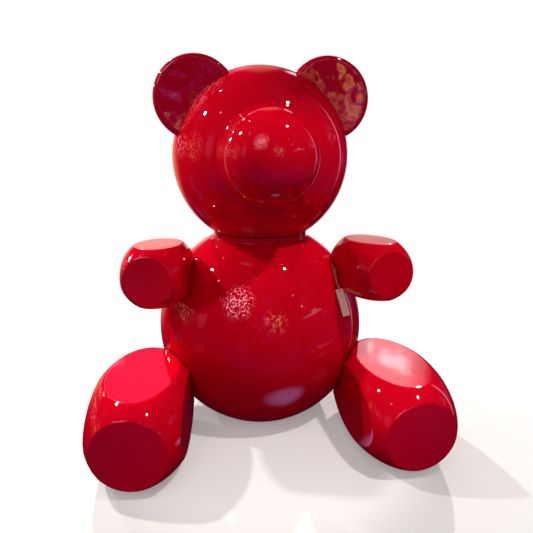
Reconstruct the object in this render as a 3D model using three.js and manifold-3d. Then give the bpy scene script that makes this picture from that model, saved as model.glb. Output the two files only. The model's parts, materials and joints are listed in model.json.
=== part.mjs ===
// A glossy seated bear figure made of round shells: a ball body, a ball head with a domed muzzle
// and two disc ears, and four egg-shaped limbs with flat facets, each turning on its own bolt.
// Millimetres, +Z up, facing -Y. The origin lies on the floor below the middle of the figure.
import * as THREE from "three";
import { mergeVertices } from "three/addons/utils/BufferGeometryUtils.js";
import Module from "manifold-3d";

const wasm = await Module();
wasm.setup();

// ---- driving dimensions ----
const BODY_RADIUS = 290;
const FOOT_HEIGHT = 6; // rubber feet under the body and the legs
const BASE_DEPTH = 246; // flat underside, below the middle of the body
const WALL = 5; // thickness of every moulded shell
const GAP = 0.3; // clearance between pieces that touch
const SEAT_CLEARANCE = 3.5; // between the body ball and the hollow seat of a limb

const HEAD_RADIUS = 236;
const HEAD_HEIGHT = 472; // middle of the head above the middle of the body
const NECK_RADIUS = 130;
const COLLAR_FOOT = 200; // inside the body ball
const COLLAR_TOP = 273.5;
const COLLAR_LID = 8; // thickness of the collar's flat top
const SEAM = 3; // height of the groove between collar and head
const HEAD_FOOT = COLLAR_TOP + SEAM;
const SLIP_RING_RADIUS = 118;
const SLIP_RING_HOLE = 60;

const MUZZLE_RADIUS = 111.5;
const MUZZLE_REACH = 245; // middle of the muzzle ball in front of the middle of the head
const MUZZLE_FILLET = 32;
const MUZZLE_TILT = THREE.MathUtils.degToRad(3.4);

const EAR = {
  radius: 106,
  x: 169.5,
  y: -56,
  z: 151, // from the middle of the head
  tilt: THREE.MathUtils.degToRad(5),
  front: 12, // the face, in front of the widest ring
  back: 30,
  dish: 4,
};

const EAR_STUD_RADIUS = 6;
const EAR_STUD_HEAD = 11;
const EAR_NUT = 22; // across the flats

const EGG_FRONT = 0.776; // the end facet, as a part of the egg's half length
const EGG_SIDE = 0.78; // the four facets around, as a part of the egg's half width
const ARM = {
  name: "arm",
  joint: "shoulder",
  length: 154.5,
  width: 91,
  x: 270,
  y: -164,
  z: 203,
  yaw: 8.6,
  pitch: 4.3,
  hubForward: 21,
  hubUp: 35,
};
const LEG = {
  name: "leg",
  joint: "hip",
  length: 237.5,
  width: 139.7,
  x: 316,
  y: -250,
  z: EGG_SIDE * 139.7 - BASE_DEPTH,
  yaw: 4.8,
  pitch: 0,
  hubForward: 25,
  hubUp: -15,
};

// Hubs of the limbs, along the line from the middle of the body.
const AXLE_RADIUS = 12;
const BUSH_RADIUS = 19.7;
const BUSH_FLANGE_RADIUS = 32;
const BUSH_FLANGE = 5.5; // thickness
const BUSH_FOOT = 272; // inner face of the bush
const BUSH_TOP = BODY_RADIUS - 1.5;
const HUB_PLATE_RADIUS = 36;
const HUB_WASHER_RADIUS = 28;
const HUB_NUT = 36; // across the flats
const WASHER = 4; // thickness of every large washer
const PLATE = 6; // thickness of hub plates and of the base plate

const NECK_AXLE_RADIUS = 15;
const NECK_AXLE_HEAD = 40;
const NECK_BUSH_RADIUS = 28;
const NECK_FLANGE_RADIUS = 42;
const NECK_FLANGE = 6;
const NECK_WASHER_RADIUS = 38;
const NECK_NUT = 46; // across the flats
const HEAD_OPENING_RADIUS = 95;
const HEAD_PLATE_RADIUS = 112;
const HEAD_PLATE = 8;

const BASE_OPENING_RADIUS = 110;
const BASE_PLATE_RADIUS = 130;
const BASE_SCREW_CIRCLE = 120;
const BASE_SCREW_RADIUS = 3;
const BASE_SCREW_HEAD = 6;
const BODY_FOOT = { radius: 14, circle: 136 };
const LEG_PAD = { radius: 22, ahead: 85 }; // ahead of the middle of the leg

const TAG = {
  width: 24,
  length: 72,
  thickness: 0.6,
  spot: [44.0, 22.6], // where its middle is over the body ball
  height: 5.7, // of its middle above the ball, so that one edge leans on the ball
  facing: [65.0, 29.0],
  hole: 2.2,
  holeUp: 31, // above the middle of the card
};
const STRING_RADIUS = 0.4;
// The tag string's route: degrees forward from the side, degrees up, and height above the body ball.
// It leaves the tag's hole, goes up and in under the shoulder, once around the axle, and back.
const STRING_ROUTE = [
  [42.95, 28.5, 6.3],
  [42.8, 29.9, 6.3],
  [41.9, 31.6, 4.4],
  [39.9, 34.8, 1.7],
  [36.9, 38.3, 1.7],
  [33.2, 41.4, 1.7],
  [29.6, 43.2, 1.7],
  [25.6, 43.2, 1.7],
  [20.6, 41.2, 1.7],
  [15.8, 38.2, 1.7],
  [14.6, 34.6, 1.7],
  [17.2, 31.0, 1.7],
  [21.6, 29.8, 1.7],
  [26.0, 31.4, 1.7],
  [28.4, 35.4, 1.7],
  [29.8, 39.0, 1.7],
  [32.2, 40.2, 1.7],
  [34.9, 37.9, 1.7],
  [39.3, 34.1, 1.7],
  [41.0, 31.9, 2.5],
  [41.8, 30.8, 4.9],
  [42.2, 29.8, 6.7],
  [42.55, 28.6, 6.6],
];

// ---- materials ----
const finish = (color, roughness, metalness) =>
  new THREE.MeshStandardMaterial({ color, roughness, metalness });
const LACQUER = finish(0xb8001c, 0.08, 0);
const STEEL = finish(0x9a9da0, 0.4, 1);
const NYLON = finish(0xe6e2d6, 0.5, 0);
const RUBBER = finish(0x191919, 0.85, 0);
const LAMINATE = finish(0x2a2622, 0.7, 0);
const CARD = finish(0xdcc9b8, 0.9, 0);
const TWINE = finish(0xd9cfc0, 0.95, 0);

const OUTER_SIDES = 32; // sides of a large ball, outside and inside
const INNER_SIDES = 24;
const ROUND = 24; // sides of every small round piece and its hole
const SCREW_SIDES = 8;

// ---- solids: three.js geometry in, three.js geometry out, cut and joined in between ----
function solid(geometry) {
  const bare = new THREE.BufferGeometry();
  const whole = geometry.index ? geometry.toNonIndexed() : geometry;
  bare.setAttribute("position", whole.getAttribute("position"));
  const merged = mergeVertices(bare, 1e-3);
  const mesh = new wasm.Mesh({
    numProp: 3,
    vertProperties: merged.attributes.position.array,
    triVerts: new Uint32Array(merged.index.array),
  });
  return new wasm.Manifold(mesh);
}

function geometryOf(shape) {
  const mesh = shape.getMesh();
  const geometry = new THREE.BufferGeometry();
  geometry.setAttribute("position", new THREE.BufferAttribute(mesh.vertProperties, 3));
  geometry.setIndex(new THREE.BufferAttribute(mesh.triVerts, 1));
  const flat = geometry.toNonIndexed();
  flat.computeVertexNormals();
  return flat;
}

// A ball around the given middle, with its poles up and down.
function ball(radius, sides, z = 0) {
  const geometry = new THREE.SphereGeometry(radius, sides, sides / 2);
  return geometry.rotateX(Math.PI / 2).translate(0, 0, z);
}

// A round bar along Z from one height to another.
function bar(radius, low, high, sides = ROUND) {
  const geometry = new THREE.CylinderGeometry(radius, radius, high - low, sides);
  return geometry.rotateX(Math.PI / 2).translate(0, 0, (low + high) / 2);
}

// A slab between two heights, wide enough for any shell.
function slab(low, high) {
  const size = 4 * BODY_RADIUS;
  return new THREE.BoxGeometry(size, size, high - low).translate(0, 0, (low + high) / 2);
}

// A solid of revolution about Z through [radius, height] points that start and end on the axis,
// or, with a hole, that close on themselves.
function turned(points, sides = ROUND) {
  const profile = points.map(([radius, z]) => new THREE.Vector2(radius, z));
  return new THREE.LatheGeometry(profile, sides).rotateX(Math.PI / 2);
}

function ring(inner, outer, low, high, sides = ROUND) {
  const corners = [[inner, low], [outer, low], [outer, high], [inner, high], [inner, low]];
  return turned(corners, sides);
}

// Points of an arc about a centre, from one angle to another, measured from the outward radius.
function arc(centre, radius, from, to, steps) {
  return Array.from({ length: steps + 1 }, (_, i) => {
    const angle = from + ((to - from) * i) / steps;
    return [centre[0] + radius * Math.cos(angle), centre[1] + radius * Math.sin(angle)];
  });
}

function piece(name, geometry, material) {
  const mesh = new THREE.Mesh(geometry, material);
  mesh.name = name;
  return mesh;
}

// Direction from the middle of the body: degrees forward from the side, and degrees up.
function direction(side, forward, up) {
  const turn = THREE.MathUtils.degToRad(forward);
  const rise = THREE.MathUtils.degToRad(up);
  const level = Math.cos(rise);
  return new THREE.Vector3(side * level * Math.cos(turn), -level * Math.sin(turn), Math.sin(rise));
}

const Z_AXIS = new THREE.Vector3(0, 0, 1);
const hubTurn = (limb, side) =>
  new THREE.Quaternion().setFromUnitVectors(Z_AXIS, direction(side, limb.hubForward, limb.hubUp));

// ---- torso: the ball body with its collar, bushes, base plate and feet ----
function torsoShell() {
  const bottom = -BASE_DEPTH;
  const lid = COLLAR_TOP - COLLAR_LID;
  const ballOutside = solid(ball(BODY_RADIUS, OUTER_SIDES)).intersect(solid(slab(bottom, COLLAR_TOP)));
  const collarOutside = solid(bar(NECK_RADIUS, COLLAR_FOOT, COLLAR_TOP, OUTER_SIDES));
  const room = solid(slab(bottom + WALL, lid));
  const ballInside = solid(ball(BODY_RADIUS - WALL, INNER_SIDES)).intersect(room);
  const collarInside = solid(bar(NECK_RADIUS - WALL, COLLAR_FOOT, lid, INNER_SIDES));
  let shell = ballOutside.add(collarOutside).subtract(ballInside).subtract(collarInside);
  shell = shell.subtract(solid(bar(BASE_OPENING_RADIUS, bottom - WALL, bottom + 2 * WALL, OUTER_SIDES)));
  shell = shell.subtract(solid(bar(NECK_BUSH_RADIUS + GAP, COLLAR_FOOT, COLLAR_TOP + COLLAR_LID)));
  for (const limb of [ARM, LEG]) {
    for (const side of [-1, 1]) {
      const hole = bar(BUSH_RADIUS + GAP, BUSH_FOOT, BODY_RADIUS + WALL);
      shell = shell.subtract(solid(hole.applyQuaternion(hubTurn(limb, side))));
    }
  }
  for (let i = 0; i < 4; i++) {
    const hole = bar(BASE_SCREW_RADIUS + GAP, bottom - WALL, bottom + 2 * WALL, SCREW_SIDES);
    shell = shell.subtract(solid(hole.applyMatrix4(aroundBase(BASE_SCREW_CIRCLE, i))));
  }
  return piece("torso_shell", geometryOf(shell), LACQUER);
}

// The place of one of four pieces around the underside.
function aroundBase(radius, i, start = 0) {
  const angle = start + (i * Math.PI) / 2;
  const place = new THREE.Matrix4();
  return place.makeTranslation(radius * Math.cos(angle), radius * Math.sin(angle), 0);
}

function basePlate() {
  const low = -BASE_DEPTH + WALL + GAP;
  let plate = solid(bar(BASE_PLATE_RADIUS, low, low + PLATE, OUTER_SIDES));
  for (let i = 0; i < 4; i++) {
    const hole = bar(BASE_SCREW_RADIUS + GAP, low - PLATE, low + 2 * PLATE, SCREW_SIDES);
    plate = plate.subtract(solid(hole.applyMatrix4(aroundBase(BASE_SCREW_CIRCLE, i))));
  }
  return piece("base_plate", geometryOf(plate), LAMINATE);
}

function baseScrews() {
  const under = -BASE_DEPTH - GAP;
  const top = -BASE_DEPTH + WALL + PLATE + 3;
  const outline = [
    [0, under - 3],
    [BASE_SCREW_HEAD - 1, under - 3],
    [BASE_SCREW_HEAD, under],
    [BASE_SCREW_RADIUS, under],
    [BASE_SCREW_RADIUS, top],
    [0, top],
  ];
  return [0, 1, 2, 3].map((i) => {
    const screw = turned(outline, SCREW_SIDES).applyMatrix4(aroundBase(BASE_SCREW_CIRCLE, i));
    return piece(`base_screw_${i + 1}`, screw, STEEL);
  });
}

// A rubber foot from the floor up to the flat underside, its lower edge cut back a little.
function rubberFoot(radius) {
  const floor = -BASE_DEPTH - FOOT_HEIGHT;
  const top = -BASE_DEPTH - GAP;
  return turned([[0, floor], [radius - 2, floor], [radius, floor + 2], [radius, top], [0, top]]);
}

function bodyFeet() {
  return [0, 1, 2, 3].map((i) => {
    const foot = rubberFoot(BODY_FOOT.radius).applyMatrix4(aroundBase(BODY_FOOT.circle, i, Math.PI / 4));
    return piece(`body_foot_${i + 1}`, foot, RUBBER);
  });
}

// ---- neck: a bush in the collar, and an axle that hangs from the plate in the head ----
// Heights from the collar's lid down: bush flange, washer, nut, and the end of the axle.
const NECK_FLANGE_TOP = COLLAR_TOP - COLLAR_LID - GAP;
const NECK_FLANGE_FOOT = NECK_FLANGE_TOP - NECK_FLANGE;
const NECK_WASHER_FOOT = NECK_FLANGE_FOOT - GAP - WASHER;
const NECK_NUT_FOOT = NECK_WASHER_FOOT - GAP - 14;
const NECK_AXLE_FOOT = NECK_NUT_FOOT - 5;

function neckBush() {
  const inner = NECK_AXLE_RADIUS + GAP;
  const top = HEAD_FOOT - 2 * GAP;
  const outline = [
    [inner, NECK_FLANGE_FOOT],
    [NECK_FLANGE_RADIUS, NECK_FLANGE_FOOT],
    [NECK_FLANGE_RADIUS, NECK_FLANGE_TOP],
    [NECK_BUSH_RADIUS, NECK_FLANGE_TOP],
    [NECK_BUSH_RADIUS, top],
    [inner, top],
    [inner, NECK_FLANGE_FOOT],
  ];
  return piece("neck_bush", turned(outline), NYLON);
}

function neckSlipRing() {
  const flat = ring(SLIP_RING_HOLE, SLIP_RING_RADIUS, COLLAR_TOP + GAP, HEAD_FOOT - GAP, OUTER_SIDES);
  return piece("neck_slip_ring", flat, NYLON);
}

function neckAxle() {
  const headLow = HEAD_FOOT + WALL + HEAD_PLATE + 2 * GAP;
  const headHigh = headLow + 6;
  const outline = [
    [0, NECK_AXLE_FOOT],
    [NECK_AXLE_RADIUS, NECK_AXLE_FOOT],
    [NECK_AXLE_RADIUS, headLow],
    [NECK_AXLE_HEAD, headLow],
    [NECK_AXLE_HEAD, headHigh],
    [0, headHigh],
  ];
  return piece("neck_axle", turned(outline), STEEL);
}

function neckWasher() {
  const top = NECK_WASHER_FOOT + WASHER;
  const flat = ring(NECK_AXLE_RADIUS + GAP, NECK_WASHER_RADIUS, NECK_WASHER_FOOT, top);
  return piece("neck_washer", flat, STEEL);
}

function hexNut(name, hole, across, low, high) {
  const outer = solid(bar(across / Math.sqrt(3), low, high, 6));
  const thread = solid(bar(hole, low - 1, high + 1));
  return piece(name, geometryOf(outer.subtract(thread)), STEEL);
}

// ---- head ----
// Turns +Z, the axis of the turned muzzle pieces, to face forward and a little up.
const MUZZLE_TURN = new THREE.Matrix4().makeRotationX(Math.PI / 2 - MUZZLE_TILT);
const HEAD_PLACE = new THREE.Matrix4().makeTranslation(0, 0, HEAD_HEIGHT);
const atMuzzle = (geometry) => geometry.applyMatrix4(MUZZLE_TURN).applyMatrix4(HEAD_PLACE);

// The fillet circle that touches both the head ball and the muzzle ball, seen from the side.
function muzzleFillet() {
  const toHead = HEAD_RADIUS + MUZZLE_FILLET;
  const toDome = MUZZLE_RADIUS + MUZZLE_FILLET;
  const along = (toHead ** 2 - toDome ** 2 + MUZZLE_REACH ** 2) / (2 * MUZZLE_REACH);
  return { across: Math.sqrt(toHead ** 2 - along ** 2), along };
}
const FILLET = muzzleFillet();
const MUZZLE_FOOT_ANGLE = Math.atan2(FILLET.along, FILLET.across);
const MUZZLE_FOOT_RADIUS = HEAD_RADIUS * Math.cos(MUZZLE_FOOT_ANGLE);

function muzzleShell() {
  const domeMiddle = [0, MUZZLE_REACH];
  const filletMiddle = [FILLET.across, FILLET.along];
  const waist = Math.atan2(FILLET.along - MUZZLE_REACH, FILLET.across);
  const filletStart = waist + Math.PI;
  const filletEnd = MUZZLE_FOOT_ANGLE + Math.PI;
  const skin = (inset) => [
    ...arc(domeMiddle, MUZZLE_RADIUS - inset, Math.PI / 2, waist, inset ? 5 : 8),
    ...arc(filletMiddle, MUZZLE_FILLET + inset, filletStart, filletEnd, 3).slice(1),
  ];
  const edge = MUZZLE_FOOT_RADIUS - 2 * GAP;
  const outline = [...skin(0), ...skin(WALL).reverse()].map(([radius, z]) => [Math.min(radius, edge), z]);
  outline[0][0] = 0;
  outline[outline.length - 1][0] = 0;
  return piece("muzzle_shell", atMuzzle(turned(outline.reverse(), OUTER_SIDES)), LACQUER);
}

// A band behind the joint of head and muzzle, which both are bonded to.
function muzzleBand() {
  const half = 13;
  const outside = HEAD_RADIUS - WALL - 6;
  const low = Math.acos((MUZZLE_FOOT_RADIUS + half) / outside);
  const high = Math.acos((MUZZLE_FOOT_RADIUS - half) / outside);
  const outline = [
    ...arc([0, 0], outside, low, high, 2),
    ...arc([0, 0], outside - WALL, high, low, 2),
  ];
  outline.push(outline[0]);
  return piece("muzzle_band", atMuzzle(turned(outline, INNER_SIDES)), LAMINATE);
}

const EAR_FOOT = HEAD_RADIUS + 1.5; // the hollow foot of an ear, from the middle of the head

// The line of an ear's stud, in the plane of the ear and away from the middle of the head.
function earStudPlace(side) {
  const away = new THREE.Vector3(side * EAR.x, 0, EAR.z).normalize();
  const turn = new THREE.Quaternion().setFromUnitVectors(Z_AXIS, away);
  const place = new THREE.Matrix4().makeRotationFromQuaternion(turn);
  return place.setPosition(0, EAR.y + (EAR.back - EAR.front) / 2, HEAD_HEIGHT);
}

function headShell() {
  const headTop = HEAD_HEIGHT + HEAD_RADIUS + 1;
  const standing = solid(slab(HEAD_FOOT, headTop));
  const outer = solid(ball(HEAD_RADIUS, OUTER_SIDES, HEAD_HEIGHT)).intersect(standing);
  const room = solid(slab(HEAD_FOOT + WALL, headTop));
  const inside = solid(ball(HEAD_RADIUS - WALL, INNER_SIDES, HEAD_HEIGHT)).intersect(room);
  let shell = outer.subtract(inside);
  const opening = bar(HEAD_OPENING_RADIUS, HEAD_FOOT - WALL, HEAD_FOOT + 2 * WALL, OUTER_SIDES);
  shell = shell.subtract(solid(opening));
  const muzzleOpening = bar(MUZZLE_FOOT_RADIUS, HEAD_RADIUS / 2, HEAD_RADIUS + WALL, OUTER_SIDES);
  shell = shell.subtract(solid(atMuzzle(muzzleOpening)));
  for (const side of [-1, 1]) {
    const hole = bar(EAR_STUD_RADIUS + GAP, HEAD_RADIUS - 4 * WALL, HEAD_RADIUS + WALL);
    shell = shell.subtract(solid(hole.applyMatrix4(earStudPlace(side))));
  }
  return piece("head_shell", geometryOf(shell), LACQUER);
}

function headPlate() {
  const low = HEAD_FOOT + WALL + GAP;
  const flat = ring(NECK_AXLE_RADIUS + GAP, HEAD_PLATE_RADIUS, low, low + HEAD_PLATE, OUTER_SIDES);
  return piece("head_plate", flat, LAMINATE);
}

function earOutline(inset) {
  const bead = EAR.front - inset;
  const heel = EAR.back - inset;
  const face = EAR.radius - EAR.front;
  return [
    [0, -heel],
    ...arc([EAR.radius - EAR.back, 0], heel, -Math.PI / 2, 0, 3),
    ...arc([face, 0], bead, 0, Math.PI / 2, 2).slice(1),
    [face / 2, bead - 0.75 * EAR.dish],
    [0, bead - EAR.dish],
  ];
}

function ear(name, side) {
  const place = new THREE.Matrix4().makeRotationX(Math.PI / 2 - EAR.tilt);
  place.setPosition(side * EAR.x, EAR.y, HEAD_HEIGHT + EAR.z);
  const disc = solid(turned(earOutline(0), OUTER_SIDES).applyMatrix4(place));
  const room = solid(turned(earOutline(WALL), ROUND / 2).applyMatrix4(place));
  const outer = disc.subtract(solid(ball(EAR_FOOT, 40, HEAD_HEIGHT)));
  const inside = room.subtract(solid(ball(EAR_FOOT + WALL, INNER_SIDES, HEAD_HEIGHT)));
  const hole = bar(EAR_STUD_RADIUS + GAP, EAR_FOOT - 4 * WALL, EAR_FOOT + 2 * WALL);
  hole.applyMatrix4(earStudPlace(side));
  return piece(name, geometryOf(outer.subtract(inside).subtract(solid(hole))), LACQUER);
}

function earStud(name, side) {
  const inner = HEAD_RADIUS - 30;
  const headLow = HEAD_RADIUS + WALL + 1;
  const headHigh = headLow + 5;
  const outline = [
    [0, inner],
    [EAR_STUD_RADIUS, inner],
    [EAR_STUD_RADIUS, headLow],
    [EAR_STUD_HEAD, headLow],
    [EAR_STUD_HEAD, headHigh],
    [0, headHigh],
  ];
  return piece(name, turned(outline).applyMatrix4(earStudPlace(side)), STEEL);
}

function earNut(name, side) {
  const nut = hexNut(name, EAR_STUD_RADIUS + GAP, EAR_NUT, HEAD_RADIUS - 27, HEAD_RADIUS - 17);
  nut.geometry.applyMatrix4(earStudPlace(side));
  return nut;
}

// ---- limbs: a faceted egg with a hollow seat that fits the body ball ----
// Distances from the middle of the body: washer, nut, and both ends of the axle.
const HUB_WASHER_FOOT = BUSH_FOOT - GAP - WASHER;
const HUB_NUT_FOOT = HUB_WASHER_FOOT - GAP - 10.4;
const HUB_AXLE_FOOT = HUB_NUT_FOOT - 3.3;
const HUB_PLATE_FOOT = BODY_RADIUS + SEAT_CLEARANCE + WALL + 1;
const HUB_AXLE_TOP = HUB_PLATE_FOOT + PLATE + 0.5;

function egg(limb, inset, sides) {
  const length = limb.length - inset;
  const width = limb.width - inset;
  const front = EGG_FRONT * limb.length - inset;
  const flat = 2 * (EGG_SIDE * limb.width - inset);
  const round = new THREE.SphereGeometry(1, sides, sides / 2).scale(width, length, width);
  const box = new THREE.BoxGeometry(flat, front + length, flat).translate(0, (length - front) / 2, 0);
  return solid(round).intersect(solid(box));
}

// Every piece on a hub lies along Z, the line of its axle, measured from the middle of the body.
function limbShell(name, limb, side) {
  const turn = new THREE.Euler(
    THREE.MathUtils.degToRad(-limb.pitch), 0, THREE.MathUtils.degToRad(side * limb.yaw), "ZYX",
  );
  const place = new THREE.Matrix4().makeRotationFromEuler(turn);
  place.setPosition(side * limb.x, limb.y, limb.z);
  const toHub = new THREE.Matrix4().makeRotationFromQuaternion(hubTurn(limb, side).invert());
  toHub.multiply(place);
  const seat = BODY_RADIUS + SEAT_CLEARANCE;
  const placed = (inset, sides) => solid(geometryOf(egg(limb, inset, sides)).applyMatrix4(toHub));
  const outer = placed(0, 26).subtract(solid(new THREE.SphereGeometry(seat, 64, 32)));
  const inside = placed(WALL, 14).subtract(solid(new THREE.SphereGeometry(seat + WALL, 36, 18)));
  const hole = solid(bar(AXLE_RADIUS + GAP, seat - WALL, seat + 2 * WALL));
  return piece(name, geometryOf(outer.subtract(inside).subtract(hole)), LACQUER);
}

function hubAxle(name) {
  return piece(name, bar(AXLE_RADIUS, HUB_AXLE_FOOT, HUB_AXLE_TOP), STEEL);
}

function hubPlate(name) {
  const flat = ring(AXLE_RADIUS + GAP, HUB_PLATE_RADIUS, HUB_PLATE_FOOT, HUB_PLATE_FOOT + PLATE);
  return piece(name, flat, STEEL);
}

function hubBush(name) {
  const inner = AXLE_RADIUS + GAP;
  const outline = [
    [inner, BUSH_FOOT],
    [BUSH_FLANGE_RADIUS, BUSH_FOOT],
    [BUSH_FLANGE_RADIUS, BUSH_FOOT + BUSH_FLANGE],
    [BUSH_RADIUS, BUSH_FOOT + BUSH_FLANGE],
    [BUSH_RADIUS, BUSH_TOP],
    [inner, BUSH_TOP],
    [inner, BUSH_FOOT],
  ];
  return piece(name, turned(outline), NYLON);
}

function hubWasher(name) {
  const flat = ring(AXLE_RADIUS + GAP, HUB_WASHER_RADIUS, HUB_WASHER_FOOT, HUB_WASHER_FOOT + WASHER);
  return piece(name, flat, STEEL);
}

// A limb with its hub, in a group turned so that Z runs along the axle.
function limbGroup(limb, side) {
  const hand = side > 0 ? "left" : "right";
  const joint = `${hand}_${limb.joint}`;
  const group = new THREE.Group();
  group.quaternion.copy(hubTurn(limb, side));
  group.add(
    limbShell(`${hand}_${limb.name}_shell`, limb, side),
    hubPlate(`${joint}_plate`),
    hubAxle(`${joint}_axle`),
    hubBush(`${joint}_bush`),
    hubWasher(`${joint}_washer`),
    hexNut(`${joint}_nut`, AXLE_RADIUS + GAP, HUB_NUT, HUB_NUT_FOOT, HUB_WASHER_FOOT - GAP),
  );
  return group;
}

function legPad(name, side) {
  const yaw = THREE.MathUtils.degToRad(LEG.yaw);
  const x = side * (LEG.x + LEG_PAD.ahead * Math.sin(yaw));
  const y = LEG.y - LEG_PAD.ahead * Math.cos(yaw);
  return piece(name, rubberFoot(LEG_PAD.radius).translate(x, y, 0), RUBBER);
}

// ---- the blank swing tag on its string ----
function onBody(forward, up, height) {
  return direction(1, forward, up).multiplyScalar(BODY_RADIUS + height);
}

function swingTag() {
  const facing = direction(1, ...TAG.facing);
  const across = new THREE.Vector3().crossVectors(Z_AXIS, facing).normalize();
  const up = new THREE.Vector3().crossVectors(facing, across);
  const card = new THREE.BoxGeometry(TAG.width, TAG.length, TAG.thickness);
  const hole = bar(TAG.hole, -2, 2).translate(0, TAG.holeUp, 0);
  const tag = piece("swing_tag", geometryOf(solid(card).subtract(solid(hole))), CARD);
  tag.applyMatrix4(new THREE.Matrix4().makeBasis(across, up, facing));
  tag.position.copy(onBody(...TAG.spot, TAG.height));
  return tag;
}

function tagString() {
  const stops = STRING_ROUTE.map((stop) => onBody(...stop));
  const path = new THREE.CatmullRomCurve3(stops);
  const section = new THREE.Shape().absarc(0, 0, STRING_RADIUS, 0, 2 * Math.PI);
  const options = { steps: 62, extrudePath: path, curveSegments: 4, bevelEnabled: false };
  return piece("tag_string", new THREE.ExtrudeGeometry(section, options), TWINE);
}

// ---- the whole figure, built about the middle of the body and then stood on the floor ----
function figure() {
  const whole = new THREE.Group();
  whole.add(torsoShell(), basePlate(), ...baseScrews(), ...bodyFeet());
  whole.add(neckBush(), neckSlipRing(), neckAxle(), neckWasher());
  const neckHole = NECK_AXLE_RADIUS + GAP;
  whole.add(hexNut("neck_nut", neckHole, NECK_NUT, NECK_NUT_FOOT, NECK_WASHER_FOOT - GAP));
  whole.add(headShell(), headPlate(), muzzleShell(), muzzleBand());
  for (const side of [1, -1]) {
    const hand = side > 0 ? "left" : "right";
    whole.add(ear(`${hand}_ear`, side));
    whole.add(earStud(`${hand}_ear_stud`, side), earNut(`${hand}_ear_nut`, side));
    whole.add(limbGroup(ARM, side), limbGroup(LEG, side), legPad(`${hand}_leg_pad`, side));
  }
  whole.add(swingTag(), tagString());
  const middle = new THREE.Box3().setFromObject(whole, true).getCenter(new THREE.Vector3());
  whole.position.set(0, -middle.y, BASE_DEPTH + FOOT_HEIGHT);
  return whole;
}

export default figure();
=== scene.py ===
"""Looks for a large seated bear figure of glossy red round shells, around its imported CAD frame.

Metres, +Z up, facing -Y. The bear's left side is +X.
"""

import json
import math

import bmesh
import bpy
from mathutils import Matrix, Vector


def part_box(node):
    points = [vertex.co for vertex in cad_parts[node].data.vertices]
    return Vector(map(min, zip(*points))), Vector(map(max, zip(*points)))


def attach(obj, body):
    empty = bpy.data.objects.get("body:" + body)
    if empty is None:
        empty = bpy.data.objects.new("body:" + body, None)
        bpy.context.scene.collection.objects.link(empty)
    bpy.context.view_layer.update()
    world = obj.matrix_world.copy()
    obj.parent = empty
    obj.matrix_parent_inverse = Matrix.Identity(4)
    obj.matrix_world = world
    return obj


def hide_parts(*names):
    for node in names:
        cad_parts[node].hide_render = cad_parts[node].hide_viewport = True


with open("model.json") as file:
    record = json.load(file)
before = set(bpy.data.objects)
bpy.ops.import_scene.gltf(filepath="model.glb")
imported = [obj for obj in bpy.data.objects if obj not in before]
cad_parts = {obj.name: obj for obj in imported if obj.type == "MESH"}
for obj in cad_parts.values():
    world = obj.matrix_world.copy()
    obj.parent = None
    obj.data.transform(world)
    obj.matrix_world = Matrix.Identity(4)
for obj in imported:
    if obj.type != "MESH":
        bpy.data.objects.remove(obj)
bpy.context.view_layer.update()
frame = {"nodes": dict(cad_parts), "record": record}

HANDS = {"left": 1, "right": -1}  # the side of X that each is on

# ---- dimensions that repeat the CAD's ----
BODY_RADIUS = 0.290
BASE_DEPTH = 0.246  # flat underside, below the middle of the body
WALL = 0.005
NECK_RADIUS = 0.130
COLLAR_TOP = 0.2735
COLLAR_LID = 0.008
NECK_HOLE = 0.0283
HEAD_RADIUS = 0.236
HEAD_HEIGHT = 0.472  # middle of the head above the middle of the body
HEAD_FOOT = 0.2765
BASE_OPENING = 0.110
BASE_SCREWS = 4
BASE_SCREW_CIRCLE = 0.120
BASE_SCREW_HOLE = 0.0033
BUSH_HOLE = 0.020
AXLE_HOLE = 0.0123

MUZZLE_RADIUS = 0.1115
MUZZLE_REACH = 0.245  # middle of the muzzle ball in front of the middle of the head
MUZZLE_FILLET = 0.032
MUZZLE_TILT = math.radians(3.4)

EAR_RADIUS = 0.106
EAR_X = 0.1695
EAR_Y = -0.056
EAR_Z = 0.151  # from the middle of the head
EAR_TILT = math.radians(5)
EAR_FRONT = 0.012
EAR_BACK = 0.030
EAR_DISH = 0.004

EGG_FRONT = 0.776  # the end facet, as a part of the egg's half length
EGG_SIDE = 0.78  # the four facets around, as a part of the egg's half width
LEG_WIDTH = 0.1397
# A limb's length and width are halves, and its place is of its middle, from the middle of the body. yaw and
# pitch are in degrees, and so is hub: how far the line of its bolt points forward from the side, and up.
LIMBS = {
    "arm": {
        "length": 0.1545,
        "width": 0.091,
        "place": (0.270, -0.164, 0.203),
        "yaw": 8.6,
        "pitch": 4.3,
        "hub": (21, 35),
    },
    "leg": {
        "length": 0.2375,
        "width": LEG_WIDTH,
        "place": (0.316, -0.250, EGG_SIDE * LEG_WIDTH - BASE_DEPTH),
        "yaw": 4.8,
        "pitch": 0,
        "hub": (25, -15),
    },
}

TAG_WIDTH = 0.024
TAG_LENGTH = 0.072
TAG_THICKNESS = 0.0006
TAG_SPOT = (44.0, 22.6)  # where its middle is over the body ball
TAG_HEIGHT = 0.0057  # of its middle above the ball
TAG_FACING = (65.0, 29.0)
TAG_HOLE = 0.0022
TAG_HOLE_UP = 0.031  # above the middle of the card
STRING_RADIUS = 0.0004
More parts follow.
